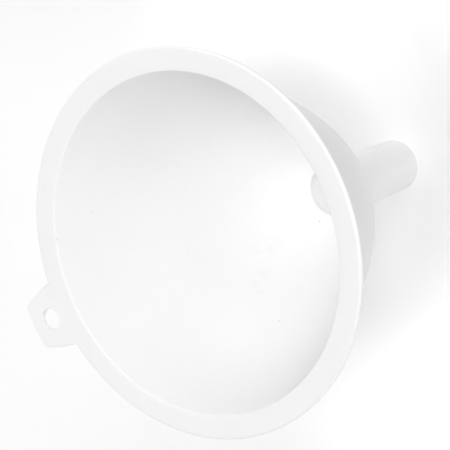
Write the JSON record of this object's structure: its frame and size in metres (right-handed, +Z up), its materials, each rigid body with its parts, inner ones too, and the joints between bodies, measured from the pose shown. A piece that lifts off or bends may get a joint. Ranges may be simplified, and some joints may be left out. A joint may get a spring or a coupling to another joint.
{
  "type": "funnel",
  "caption": "Plain white plastic funnel with a wide flat rim flange, a bulged bowl, a short tapered spout cut square, and a small hanging tab with a round hole.",
  "frame": {"origin": "centre of the spout's outlet, on the funnel's axis", "axes": "+Z up the funnel's axis from the spout to the mouth, -X towards the hanging tab, +Y by the right-hand rule; the funnel stands mouth up, as in the neck of a bottle"},
  "size_m": [0.1318, 0.12, 0.1124],
  "materials": {
    "white_plastic": "satin white polypropylene as moulded, slightly translucent"
  },
  "bodies": {
    "root": {"rim_flange": "white_plastic", "hanging_tab": "white_plastic", "bowl": "white_plastic", "spout": "white_plastic"}
  },
  "joints": []
}
